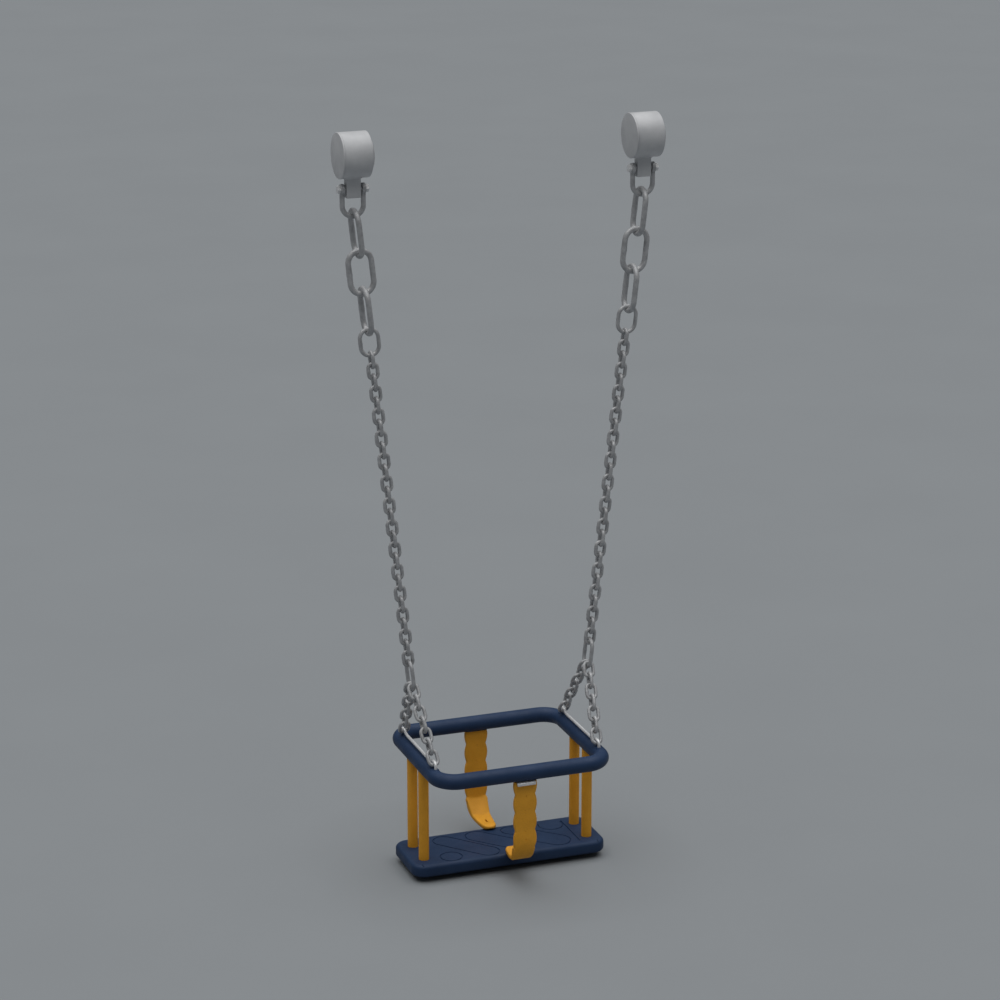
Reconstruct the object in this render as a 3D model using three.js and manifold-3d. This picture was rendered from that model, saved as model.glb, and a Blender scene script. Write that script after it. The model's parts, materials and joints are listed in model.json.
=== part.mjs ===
// Toddler cradle swing: two bearing hangers, shackles, chains and a rubber cradle seat.
// Millimetres, +Z up, -Y is the front, and left and right are as seen from the front: left is -X.
// The origin lies on the two hangers' common bearing axis, midway between them.
import * as THREE from "three";
import { mergeVertices } from "three/addons/utils/BufferGeometryUtils.js";
import Module from "manifold-3d";

// ---------------------------------------------------------------- driving dimensions
const GAP = 0.3; // between neighbouring pieces that touch
const DRILLED = 0.8; // a coarse six-sided hole is drawn this much over its rod's radius
const PAST = 5; // how far a cutter runs past the face it opens
const EDGE = 1; // chamfer on turned pieces
const HANGER_X = 321.5; // centre of each hanger from the middle

const DRUM = { radius: 48, wall: 6, half: 31.5, cap: 3.2, face: 8, hubRadius: 27, hubEnd: -20 };
const AXLE = { radius: 12, end: -27, flangeRadius: 36, flangeThick: 5, flangeGap: 0.6 };
const AXLE_TAP = { radius: 5.1, depth: 30 };
const AXLE_NUT = { radius: 19, thick: 6 };
const AXLE_FIXING = { count: 3, radius: 4.5, circle: 26 };
const BUSH = { radius: 20, outer: [-19.7, -1], inner: [8, 31.2] };
const LUG = { half: 15.5, depth: 9.5, bottom: -88.5, sunk: 3 };
const SHACKLE = { pinZ: -70.5, wire: 5.25, half: 22.8, crownZ: -128.5, eye: 11.5, eyeThick: 8 };
const PIN = { radius: 5, headRadius: 8.8, headThick: 6, past: 2 };

const BIG = { count: 3, wire: 6, inner: 84, outerWidth: 63 };
const RING = { wire: 4.25, inner: 52, outerWidth: 49 };
const CHAIN = { count: 28, wire: 4, inner: 24.62, outerWidth: 28 };
const LONG = { wire: 4.5, inner: 53.5, outerWidth: 45 };
const VEE = { count: 7, wire: 4, inner: 24.62, outerWidth: 28 };
const HOOK_GAP = 1.2; // each corner chain slants, so its last crown sits a little below the staple
const FUSE = 0.4; // how far the links of one modelled run press into each other
const LINK_ROOM = 2; // side play of a link's wire in the next link's opening

const HOOP = { x: 190.8, y: 158.3, corner: 45, z: 221.2, radius: 17.4, core: 8 };
const STAPLE = {
  x: 188.3,
  radius: 3.5,
  archY: 101,
  archZ: 252.5,
  railZ: 246,
  railY: 84,
  legY: 116,
  footZ: 217,
};
const PLANK = { x: 225, y: 80.5, thick: 28, corner: 30, round: 9 };
const INSERT = { x: 200, y: 58, thick: 5, z: -17, corner: 14 };
const POST = { x: 190.8, y: 38, radius: 11.7, bore: 4.6, foot: -3, top: 209.5 };
const TIE = { radius: 4, topZ: 223.2, headRadius: 7.5, headThick: 5, recess: 9 };

const STRAP = { width: 55.6, thick: 10, tipWidth: 30, y: 158.3, topZ: 199, taperFrom: 140 };
const SCALLOP = { pitch: 41, depth: 1.6 };
const BRACKET = { half: 21, front: 171.5, back: 147, sheet: 2.6, plate: 6.6, topZ: 203.2, lowZ: 190 };
const BRACKET_SCREW = { x: 12, radius: 2.5, headRadius: 4.5, headThick: 3, topZ: 216 };

// ---------------------------------------------------------------- materials
const paint = (color, roughness, metalness) => () =>
  new THREE.MeshStandardMaterial({ color, roughness, metalness });
const greyPaint = paint(0xb4b6ba, 0.45, 0.1);
const steel = paint(0x8c8f93, 0.42, 0.85);
const brightSteel = paint(0xb9bcc0, 0.3, 0.9);
const bronze = paint(0xa07a3c, 0.4, 0.8);
const navyRubber = paint(0x22344f, 0.7, 0);
const yellowRubber = paint(0xd9982b, 0.62, 0);

// ---------------------------------------------------------------- solids
const wasm = await Module();
wasm.setup();

function solidOf(geometry) {
  const bare = geometry.index ? geometry.toNonIndexed() : geometry.clone();
  bare.deleteAttribute("normal");
  bare.deleteAttribute("uv");
  const merged = mergeVertices(bare, 1e-3);
  return new wasm.Manifold(
    new wasm.Mesh({
      numProp: 3,
      vertProperties: merged.attributes.position.array,
      triVerts: new Uint32Array(merged.index.array),
    }),
  );
}

function geometryOf(solid) {
  const mesh = solid.getMesh();
  const geometry = new THREE.BufferGeometry();
  geometry.setAttribute("position", new THREE.BufferAttribute(mesh.vertProperties, 3));
  geometry.setIndex(new THREE.BufferAttribute(mesh.triVerts, 1));
  const flat = geometry.toNonIndexed();
  flat.computeVertexNormals();
  return flat;
}

const join = (...parts) => geometryOf(parts.map(solidOf).reduce((a, b) => a.add(b)));

function cut(body, ...tools) {
  return geometryOf(tools.map(solidOf).reduce((a, b) => a.subtract(b), solidOf(body)));
}

// ---------------------------------------------------------------- shape helpers
const v3 = (x, y, z) => new THREE.Vector3(x, y, z);

// Cylinder between two points, with sides facets.
function rod(from, to, radius, sides = 16) {
  const axis = to.clone().sub(from);
  const geometry = new THREE.CylinderGeometry(radius, radius, axis.length(), sides);
  const turn = new THREE.Quaternion().setFromUnitVectors(v3(0, 1, 0), axis.normalize());
  geometry.applyQuaternion(turn);
  const middle = from.clone().add(to).multiplyScalar(0.5);
  return geometry.translate(middle.x, middle.y, middle.z);
}

const rodX = (x0, x1, y, z, radius, sides) => rod(v3(x0, y, z), v3(x1, y, z), radius, sides);
const rodZ = (x, y, z0, z1, radius, sides) => rod(v3(x, y, z0), v3(x, y, z1), radius, sides);

// Body turned about the X axis from a closed [x, radius] outline.
function turnedX(outline, sides = 32) {
  const closed = [...outline, outline[0]];
  const geometry = new THREE.LatheGeometry(closed.map(([x, r]) => new THREE.Vector2(r, x)), sides);
  return geometry.rotateZ(-Math.PI / 2);
}

function block(x0, x1, y0, y1, z0, z1) {
  const geometry = new THREE.BoxGeometry(x1 - x0, y1 - y0, z1 - z0);
  return geometry.translate((x0 + x1) / 2, (y0 + y1) / 2, (z0 + z1) / 2);
}

// Rounded rectangle with half sizes x and y.
function roundedRectangle(x, y, corner) {
  const shape = new THREE.Shape();
  const cx = x - corner;
  const cy = y - corner;
  shape.absarc(cx, cy, corner, 0, Math.PI / 2);
  shape.absarc(-cx, cy, corner, Math.PI / 2, Math.PI);
  shape.absarc(-cx, -cy, corner, Math.PI, Math.PI * 1.5);
  shape.absarc(cx, -cy, corner, Math.PI * 1.5, Math.PI * 2);
  return shape;
}

// One link, centred, its length along Z and its opening seen along X. Each end is an arc of perEnd
// points whose middle straight is the crown, so its inner face lies at half the inner length.
function linkGeometry(size, perEnd = 6, sides = 8) {
  const radius = size.outerWidth / 2 - size.wire;
  const step = Math.PI / perEnd;
  const reach = radius / Math.cos(step / 2);
  const centre = size.inner / 2 + size.wire - radius;
  const points = [];
  for (const end of [0, Math.PI]) {
    for (let i = 0; i < perEnd; i += 1) {
      const angle = end + (i + 0.5) * step;
      const shift = end ? -centre : centre;
      points.push(v3(0, reach * Math.cos(angle), shift + reach * Math.sin(angle)));
    }
  }
  return bentRod(points.reverse(), size.wire, sides, true);
}

// Corner radius of a square wire with the round wire's cross-section, a corner towards the opening.
const squareRadius = (radius) => radius * Math.sqrt(Math.PI / 2);

// Plain link of eight straights with a square wire, its length along Z and its opening seen along X.
function plainLink(size) {
  const wire = squareRadius(size.wire);
  const z = size.inner / 2 + wire;
  const y = wire + size.wire + LINK_ROOM;
  const bevel = 0.35 * y;
  const half = [
    [y - bevel, z],
    [y, z - bevel],
    [y, bevel - z],
    [y - bevel, -z],
  ];
  const outline = [...half, ...half.map(([a, b]) => [-a, -b])].map(([a, b]) => v3(0, a, b));
  return bentRod(outline, wire, 4, true);
}

// Run of links that press into each other, its first inner crown at the origin, hanging along -Z.
function fusedRun(size, firstFlat) {
  let run = null;
  for (let i = 0; i < size.count; i += 1) {
    const link = plainLink(size);
    if (firstFlat === (i % 2 === 0)) link.rotateZ(Math.PI / 2);
    link.translate(0, 0, -size.inner / 2 - i * (size.inner + FUSE));
    const solid = solidOf(link);
    run = run ? run.add(solid) : solid;
  }
  return geometryOf(run);
}

const runLength = (size) => size.count * size.inner + (size.count - 1) * FUSE;

// Solid through a row of rings that all have the same number of corners: capped at its two ends,
// or joined on itself.
function loft(rings, joined = false) {
  const positions = [];
  const corners = rings[0].length;
  const last = rings.length - 1;
  const triangle = (a, b, c) => positions.push(...a.toArray(), ...b.toArray(), ...c.toArray());
  for (let i = joined ? 0 : 1; i <= last; i += 1) {
    const from = rings[(i + last) % (last + 1)];
    for (let k = 0; k < corners; k += 1) {
      const next = (k + 1) % corners;
      triangle(from[k], from[next], rings[i][next]);
      triangle(from[k], rings[i][next], rings[i][k]);
    }
  }
  for (let k = 1; k < corners - 1 && !joined; k += 1) {
    triangle(rings[0][0], rings[0][k + 1], rings[0][k]);
    triangle(rings[last][0], rings[last][k], rings[last][k + 1]);
  }
  const geometry = new THREE.BufferGeometry();
  geometry.setAttribute("position", new THREE.BufferAttribute(new Float32Array(positions), 3));
  return geometry;
}

// Rod through points in a plane of constant X, mitred at each: open, or joined on itself.
function bentRod(points, radius, sides, joined = false) {
  const across = v3(1, 0, 0);
  const count = points.length;
  const rings = points.map((point, i) => {
    const before = points[joined ? (i + count - 1) % count : Math.max(i - 1, 0)];
    const after = points[joined ? (i + 1) % count : Math.min(i + 1, count - 1)];
    const arriving = point.clone().sub(before).normalize();
    const leaving = after.clone().sub(point).normalize();
    const tangent = arriving.clone().add(leaving).normalize();
    const mitre = 1 / Math.max(tangent.dot(leaving), tangent.dot(arriving));
    const up = tangent.cross(across).multiplyScalar(mitre);
    return Array.from({ length: sides }, (_, k) => {
      const angle = (k * 2 * Math.PI) / sides;
      const offset = across.clone().multiplyScalar(Math.cos(angle) * radius);
      return point.clone().add(offset).addScaledVector(up, Math.sin(angle) * radius);
    });
  });
  return loft(rings, joined);
}

// ---------------------------------------------------------------- assembly helpers
const swing = new THREE.Group();

function place(parent, name, geometry, material, position = v3(0, 0, 0)) {
  const mesh = new THREE.Mesh(geometry, material());
  mesh.name = name;
  mesh.position.copy(position);
  parent.add(mesh);
  return mesh;
}

// ---------------------------------------------------------------- hanger, about its own centre
function housing() {
  const { radius, wall, half, cap, face, hubRadius, hubEnd } = DRUM;
  const bore = BUSH.radius + GAP;
  const rim = -half + cap + GAP;
  const drum = turnedX(
    [
      [half - EDGE, radius],
      [half, radius - EDGE],
      [half, bore],
      [hubEnd, bore],
      [hubEnd, hubRadius],
      [half - face, hubRadius],
      [half - face, radius - wall],
      [rim, radius - wall],
      [rim, radius],
    ],
    24,
  );
  const lug = block(-LUG.half, LUG.half, -LUG.depth, LUG.depth, LUG.bottom, -radius + LUG.sunk);
  const pinHole = rodX(-LUG.half - PAST, LUG.half + PAST, 0, SHACKLE.pinZ, PIN.radius + GAP, 10);
  return cut(join(drum, lug), pinHole);
}

function endCover() {
  const { radius, half, cap } = DRUM;
  const inside = -half + cap;
  return turnedX(
    [
      [-half, 0],
      [-half, radius - EDGE],
      [-half + EDGE, radius],
      [inside, radius],
      [inside, 0],
    ],
    24,
  );
}

function axle() {
  const flangeStart = DRUM.half + AXLE.flangeGap;
  const flangeEnd = flangeStart + AXLE.flangeThick;
  const body = turnedX(
    [
      [AXLE.end, 0],
      [AXLE.end, AXLE.radius - EDGE],
      [AXLE.end + EDGE, AXLE.radius],
      [flangeStart, AXLE.radius],
      [flangeStart, AXLE.flangeRadius],
      [flangeEnd, AXLE.flangeRadius],
      [flangeEnd, 0],
    ],
    24,
  );
  const holes = [rodX(flangeEnd - AXLE_TAP.depth, flangeEnd + PAST, 0, 0, AXLE_TAP.radius, 8)];
  for (let i = 0; i < AXLE_FIXING.count; i += 1) {
    const angle = Math.PI / 2 + (i * 2 * Math.PI) / AXLE_FIXING.count;
    const y = AXLE_FIXING.circle * Math.cos(angle);
    const z = AXLE_FIXING.circle * Math.sin(angle);
    holes.push(rodX(flangeStart - PAST, flangeEnd + PAST, y, z, AXLE_FIXING.radius, 8));
  }
  return cut(body, ...holes);
}

function bush([x0, x1]) {
  const bore = AXLE.radius + GAP;
  return turnedX(
    [
      [x0, bore],
      [x0, BUSH.radius],
      [x1, BUSH.radius],
      [x1, bore],
    ],
    16,
  );
}

function hexNut(x0, x1, y, z, radius, bore) {
  return cut(rodX(x0, x1, y, z, radius, 6), rodX(x0 - PAST, x1 + PAST, y, z, bore, 12));
}

// ---------------------------------------------------------------- shackle, about the hanger's centre
function shackle() {
  const { pinZ, wire, half, crownZ, eye, eyeThick } = SHACKLE;
  const centreZ = crownZ + half;
  const top = pinZ - eye + 2; // the wire ends just inside the flattened eyes
  const path = new THREE.CurvePath();
  path.add(new THREE.LineCurve3(v3(-half, 0, top), v3(-half, 0, centreZ)));
  const steps = 8;
  const bow = new THREE.CatmullRomCurve3(
    Array.from({ length: steps + 1 }, (_, i) => {
      const angle = Math.PI + (i * Math.PI) / steps;
      return v3(half * Math.cos(angle), 0, centreZ + half * Math.sin(angle));
    }),
  );
  path.add(bow);
  path.add(new THREE.LineCurve3(v3(half, 0, centreZ), v3(half, 0, top)));
  const section = new THREE.Shape();
  section.absarc(0, 0, wire, 0, Math.PI * 2);
  const wireBody = new THREE.ExtrudeGeometry(section, { steps: 12, curveSegments: 3, extrudePath: path });
  const parts = [wireBody];
  const holes = [];
  for (const side of [-1, 1]) {
    const inner = side * (half - eyeThick / 2);
    const outer = side * (half + eyeThick / 2);
    parts.push(rodX(Math.min(inner, outer), Math.max(inner, outer), 0, pinZ, eye, 14));
    holes.push(rodX(side * half - eyeThick, side * half + eyeThick, 0, pinZ, PIN.radius + GAP, 10));
  }
  return cut(join(...parts), ...holes);
}

function shackleBolt() {
  const outer = SHACKLE.half + SHACKLE.eyeThick / 2 + GAP;
  const shank = rodX(-outer - 1, outer + PIN.headThick + PIN.past, 0, SHACKLE.pinZ, PIN.radius, 10);
  const head = rodX(-outer - PIN.headThick, -outer, 0, SHACKLE.pinZ, PIN.headRadius, 6);
  return join(shank, head);
}

function shackleNut() {
  const outer = SHACKLE.half + SHACKLE.eyeThick / 2 + GAP;
  const { headRadius, headThick, radius } = PIN;
  return hexNut(outer, outer + headThick, 0, SHACKLE.pinZ, headRadius, radius + GAP);
}

// ---------------------------------------------------------------- the lines of the suspension
// Seen from the front each chain is one straight line, from its shackle to its staple.
const bowInside = SHACKLE.crownZ + SHACKLE.wire;
const lineTopX = HANGER_X - 2; // the link leans against the inner side of the bow
const longArc = LONG.outerWidth / 2 - LONG.wire; // radius of the long link's crown line
const crossReach = longArc - LONG.wire; // from the crown's centre to its inner face

const bigStart = -3 * GAP;
const ringStart = bigStart + BIG.count * (BIG.inner - GAP);
const chainStart = ringStart + RING.inner - GAP;
const longStart = chainStart + runLength(CHAIN) - GAP;
const veeCentre = longStart + LONG.inner - crossReach;

const veeReach = crossReach - GAP + runLength(VEE) - HOOK_GAP - STAPLE.radius;
const veeDrop = Math.sqrt(veeReach ** 2 - STAPLE.archY ** 2);
const lineLength = veeCentre + veeDrop;
const lineDeltaX = lineTopX - STAPLE.x;
const lineDeltaZ = Math.sqrt(lineLength ** 2 - lineDeltaX ** 2);
const SEAT_Z = bowInside - lineDeltaZ - STAPLE.archZ; // the plank's top face

// Point on one side's line, s millimetres below the inside of the shackle's bow.
function onLine(side, s) {
  const x = lineTopX - (lineDeltaX * s) / lineLength;
  return v3(side * x, 0, bowInside - (lineDeltaZ * s) / lineLength);
}

// Turns a piece that hangs along -Z to hang along down instead, its own X kept close to across.
function hangAlong(mesh, down, across) {
  const z = down.clone().normalize().negate();
  const x = across.clone().addScaledVector(z, -across.dot(z)).normalize();
  const y = z.clone().cross(x);
  mesh.quaternion.setFromRotationMatrix(new THREE.Matrix4().makeBasis(x, y, z));
}

// Link whose upper inner crown is s below the bow. A broad link shows its opening to the front.
function placeLink(parent, name, size, side, s, broad) {
  const geometry = linkGeometry(size);
  if (broad) geometry.rotateZ(Math.PI / 2);
  const mesh = place(parent, name, geometry, steel, onLine(side, s + size.inner / 2));
  hangAlong(mesh, onLine(side, 1).sub(onLine(side, 0)), v3(1, 0, 0));
}

function hanger(label, side) {
  const group = new THREE.Group();
  group.position.set(side * HANGER_X, 0, 0);
  const nutEnd = DRUM.hubEnd - GAP;
  const nut = hexNut(nutEnd - AXLE_NUT.thick, nutEnd, 0, 0, AXLE_NUT.radius, AXLE.radius + 2 * GAP);
  place(group, `${label}_hanger_housing`, housing(), greyPaint);
  place(group, `${label}_hanger_end_cover`, endCover(), greyPaint);
  place(group, `${label}_hanger_axle`, axle(), steel);
  place(group, `${label}_outer_bush`, bush(BUSH.outer), bronze);
  place(group, `${label}_inner_bush`, bush(BUSH.inner), bronze);
  place(group, `${label}_axle_nut`, nut, steel);
  place(group, `${label}_shackle`, shackle(), steel);
  place(group, `${label}_shackle_bolt`, shackleBolt(), brightSteel);
  place(group, `${label}_shackle_nut`, shackleNut(), brightSteel);
  swing.add(group);
}

function suspension(label, side) {
  for (let i = 0; i < BIG.count; i += 1) {
    const name = `${label}_big_link_${i + 1}`;
    placeLink(swing, name, BIG, side, bigStart + i * (BIG.inner - GAP), i % 2 === 1);
  }
  placeLink(swing, `${label}_connecting_link`, RING, side, ringStart, true);
  const down = onLine(side, 1).sub(onLine(side, 0));
  const start = onLine(side, chainStart);
  const chain = place(swing, `${label}_main_chain`, fusedRun(CHAIN, false), steel, start);
  hangAlong(chain, down, v3(1, 0, 0));
  placeLink(swing, `${label}_long_link`, LONG, side, longStart, false);

  const centre = onLine(side, veeCentre);
  for (const [end, sign] of [["front", -1], ["rear", 1]]) {
    const foot = v3(side * STAPLE.x, sign * STAPLE.archY, SEAT_Z + STAPLE.archZ);
    const direction = foot.sub(centre).normalize();
    const start = centre.clone().addScaledVector(direction, crossReach - GAP);
    const leg = place(swing, `${label}_${end}_vee_chain`, fusedRun(VEE, true), steel, start);
    hangAlong(leg, direction, v3(1, 0, 0));
  }
}

// ---------------------------------------------------------------- cradle seat, about the plank's top
const seat = new THREE.Group();
seat.position.z = SEAT_Z;
swing.add(seat);

const CORNER_STEPS = 4; // steps of the hoop's centre line round each corner
const SIDE_STEPS = 2; // and along each side

// The hoop's centre line as one closed curve, from the right rear corner round to the left.
class HoopCurve extends THREE.Curve {
  getPoint(t) {
    const sides = [2 * (HOOP.y - HOOP.corner), 2 * (HOOP.x - HOOP.corner)];
    const cx = HOOP.x - HOOP.corner;
    const cy = HOOP.y - HOOP.corner;
    const centres = [
      [cx, cy],
      [-cx, cy],
      [-cx, -cy],
      [cx, -cy],
    ];
    const turn = (t % 1) * 4;
    const index = Math.min(Math.floor(turn), 3);
    const along = (turn - index) * (CORNER_STEPS + SIDE_STEPS);
    const [ox, oy] = centres[index];
    const bend = Math.min(along, CORNER_STEPS) / CORNER_STEPS;
    const angle = ((index + bend) * Math.PI) / 2;
    const past = (Math.max(along - CORNER_STEPS, 0) / SIDE_STEPS) * sides[(index + 1) % 2];
    const x = ox + HOOP.corner * Math.cos(angle) - past * Math.sin(angle);
    const y = oy + HOOP.corner * Math.sin(angle) + past * Math.cos(angle);
    return v3(x, y, HOOP.z);
  }

  getPointAt(t) {
    return this.getPoint(t);
  }

  getTangentAt(t) {
    return this.getTangent(t);
  }
}

const corners = [
  ["left_front", -1, -1],
  ["left_rear", -1, 1],
  ["right_front", 1, -1],
  ["right_rear", 1, 1],
];

// Places of the holes that the posts, staples and bracket screws need, one of each to a corner.
const postAt = (sx, sy) => [sx * POST.x, sy * POST.y];
const legAt = (sx, sy) => [sx * STAPLE.x, sy * STAPLE.legY];
const screwAt = (sx, sy) => [sx * BRACKET_SCREW.x, sy * STRAP.y];

function hoopTube(radius, sides) {
  const steps = 4 * (CORNER_STEPS + SIDE_STEPS);
  return new THREE.TubeGeometry(new HoopCurve(), steps, radius, sides, true);
}

function hoopCover() {
  const low = HOOP.z - HOOP.radius - PAST;
  const high = HOOP.z + HOOP.radius + PAST;
  const tools = [hoopTube(HOOP.core + GAP, 6)];
  for (const [, sx, sy] of corners) {
    tools.push(rodZ(...postAt(sx, sy), low, POST.top + GAP, POST.radius + GAP, 12));
    tools.push(rodZ(...postAt(sx, sy), low, HOOP.z, TIE.radius + DRILLED, 6));
    tools.push(rodZ(...legAt(sx, sy), HOOP.z, high, STAPLE.radius + DRILLED, 6));
    tools.push(rodZ(...screwAt(sx, sy), low, HOOP.z, BRACKET_SCREW.radius + DRILLED, 6));
  }
  return cut(hoopTube(HOOP.radius, 12), ...tools);
}

function hoopCore() {
  const low = HOOP.z - HOOP.core - PAST;
  const high = HOOP.z + HOOP.core + PAST;
  const tools = [];
  for (const [, sx, sy] of corners) {
    tools.push(rodZ(...postAt(sx, sy), low, TIE.topZ + GAP, TIE.radius + DRILLED, 6));
    tools.push(rodZ(...legAt(sx, sy), STAPLE.footZ - GAP, high, STAPLE.radius + DRILLED, 6));
    tools.push(rodZ(...screwAt(sx, sy), low, BRACKET_SCREW.topZ + GAP, BRACKET_SCREW.radius + DRILLED, 6));
  }
  return cut(hoopTube(HOOP.core, 6), ...tools);
}

function plank() {
  const { x, y, thick, corner, round } = PLANK;
  const outline = roundedRectangle(x - round, y - round, corner - round);
  const board = new THREE.ExtrudeGeometry(outline, {
    depth: thick - 2 * round,
    bevelThickness: round,
    bevelSize: round,
    bevelSegments: 2,
    curveSegments: 4,
  });
  board.translate(0, 0, -thick + round);
  const tools = [insertPlate(GAP)];
  for (const [, sx, sy] of corners) {
    tools.push(rodZ(...postAt(sx, sy), POST.foot - GAP, PAST, POST.radius + GAP, 12));
    tools.push(rodZ(...postAt(sx, sy), -thick - PAST, PAST, TIE.radius + DRILLED, 6));
    tools.push(rodZ(...postAt(sx, sy), -thick - PAST, INSERT.z, TIE.recess, 12));
  }
  return cut(board, ...tools);
}

function insertPlate(grow) {
  const { x, y, thick, z, corner } = INSERT;
  const shape = roundedRectangle(x + grow, y + grow, corner);
  const plate = new THREE.ExtrudeGeometry(shape, {
    depth: thick + 2 * grow,
    bevelEnabled: false,
    curveSegments: 2,
  });
  return plate.translate(0, 0, z - grow);
}

function insert() {
  const low = INSERT.z - PAST;
  const high = INSERT.z + INSERT.thick + PAST;
  const holes = corners.map(([, sx, sy]) => rodZ(...postAt(sx, sy), low, high, TIE.radius + DRILLED, 6));
  return cut(insertPlate(0), ...holes);
}

function post() {
  const { radius, bore, foot, top } = POST;
  const outline = [
    [foot, bore],
    [foot, radius],
    [top, radius],
    [top, bore],
  ];
  return turnedX(outline, 12).rotateY(-Math.PI / 2);
}

function tieBolt() {
  const under = INSERT.z - GAP;
  const shank = rodZ(0, 0, under - 1, TIE.topZ, TIE.radius, 10);
  const head = rodZ(0, 0, under - TIE.headThick, under, TIE.headRadius, 6);
  return join(shank, head);
}

// Bright rod over one end rail, humped over each corner chain, its ends bent down into the hoop.
function staple(side) {
  const { x, radius, archY, archZ, railZ, railY, legY, footZ } = STAPLE;
  const half = [
    v3(side * x, legY, footZ),
    v3(side * x, legY, archZ - 8),
    v3(side * x, legY - 1.5, archZ - 2.6),
    v3(side * x, legY - 6, archZ),
    v3(side * x, archY, archZ),
    v3(side * x, archY - 7, archZ - 0.6),
    v3(side * x, railY, railZ),
    v3(side * x, railY - 12, railZ),
  ];
  const mirrored = half.map((p) => v3(p.x, -p.y, p.z)).reverse();
  return bentRod([...half, ...mirrored], radius, 6);
}

// ---------------------------------------------------------------- straps and their brackets
// The centre line of the strap that hangs at sign * y: straight down, then curling to the middle.
function strapLine(sign) {
  const points = [
    [STRAP.y, STRAP.topZ],
    [STRAP.y, 150],
    [STRAP.y, 95],
    [STRAP.y - 1, 48],
    [STRAP.y - 9, 24],
    [STRAP.y - 30, 12.5],
    [STRAP.y - 58, 9],
    [STRAP.y - 80, 9.5],
    [STRAP.y - 96, 11],
  ];
  return new THREE.CatmullRomCurve3(points.map(([y, z]) => v3(0, sign * y, z)));
}

// Scalloped down to the bend, then tapering to the tip.
function strapWidth(u, length) {
  const along = u * length;
  if (along < STRAP.taperFrom) {
    const wave = Math.cos((along / SCALLOP.pitch) * 2 * Math.PI);
    return STRAP.width - SCALLOP.depth * (1 + wave);
  }
  const taper = (along - STRAP.taperFrom) / (length - STRAP.taperFrom);
  return STRAP.width + (STRAP.tipWidth - STRAP.width) * taper ** 1.3;
}

function strap(sign) {
  const line = strapLine(sign);
  const length = line.getLength();
  const steps = 20;
  const rings = [];
  for (let i = 0; i <= steps; i += 1) {
    const point = line.getPointAt(i / steps);
    const tangent = line.getTangentAt(i / steps);
    const normal = v3(0, -tangent.z, tangent.y).multiplyScalar(STRAP.thick / 2);
    const half = strapWidth(i / steps, length) / 2;
    const ring = [
      point.clone().add(normal).add(v3(-half, 0, 0)),
      point.clone().add(normal).add(v3(half, 0, 0)),
      point.clone().sub(normal).add(v3(half, 0, 0)),
      point.clone().sub(normal).add(v3(-half, 0, 0)),
    ];
    rings.push(ring);
  }
  const pockets = [-1, 1].map((sx) =>
    rodZ(...screwAt(sx, sign), STRAP.topZ - PAST, STRAP.topZ + PAST, BRACKET_SCREW.headRadius + 1, 10),
  );
  return cut(loft(rings), ...pockets);
}

// Angle bracket: a flange under the hoop and a thicker lip down the strap's outer face.
function bracket(sign) {
  const { half, front, back, sheet, plate: thick, topZ, lowZ } = BRACKET;
  const low = Math.min(sign * front, sign * back);
  const high = Math.max(sign * front, sign * back);
  const flange = block(-half, half, low, high, topZ - sheet, topZ);
  const outer = sign * front;
  const inner = sign * (front - thick);
  const plate = block(-half, half, Math.min(outer, inner), Math.max(outer, inner), lowZ, topZ);
  const holes = [-1, 1].map((sx) =>
    rodZ(...screwAt(sx, sign), lowZ, topZ + PAST, BRACKET_SCREW.radius + DRILLED, 6),
  );
  return cut(join(flange, plate), ...holes);
}

function bracketScrew(x, y) {
  const { radius, headRadius, headThick, topZ } = BRACKET_SCREW;
  const under = BRACKET.topZ - BRACKET.sheet - GAP;
  const shank = rodZ(x, y, under - 1, topZ, radius, 8);
  return join(shank, rodZ(x, y, under - headThick, under, headRadius, 10));
}

// ---------------------------------------------------------------- the whole swing
for (const [label, side] of [["left", -1], ["right", 1]]) {
  hanger(label, side);
  suspension(label, side);
  place(seat, `${label}_staple`, staple(side), brightSteel);
}

place(seat, "hoop_cover", hoopCover(), navyRubber);
place(seat, "hoop_core", hoopCore(), steel);
place(seat, "seat_rubber", plank(), navyRubber);
place(seat, "seat_insert", insert(), steel);
for (const [label, sx, sy] of corners) {
  const foot = v3(sx * POST.x, sy * POST.y, 0);
  place(seat, `${label}_post_sleeve`, post(), yellowRubber, foot);
  place(seat, `${label}_tie_bolt`, tieBolt(), steel, foot);
}
for (const [label, sign] of [["front", -1], ["rear", 1]]) {
  place(seat, `${label}_strap`, strap(sign), yellowRubber);
  place(seat, `${label}_strap_bracket`, bracket(sign), steel);
  for (const [end, sx] of [["left", -1], ["right", 1]]) {
    place(seat, `${label}_bracket_screw_${end}`, bracketScrew(...screwAt(sx, sign)), steel);
  }
}

export default swing;
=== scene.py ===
"""Toddler cradle swing: the looks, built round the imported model. Metres, +Z up, -Y is the front."""

import json
import math

import bmesh
import bpy
from mathutils import Matrix, Vector


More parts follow.
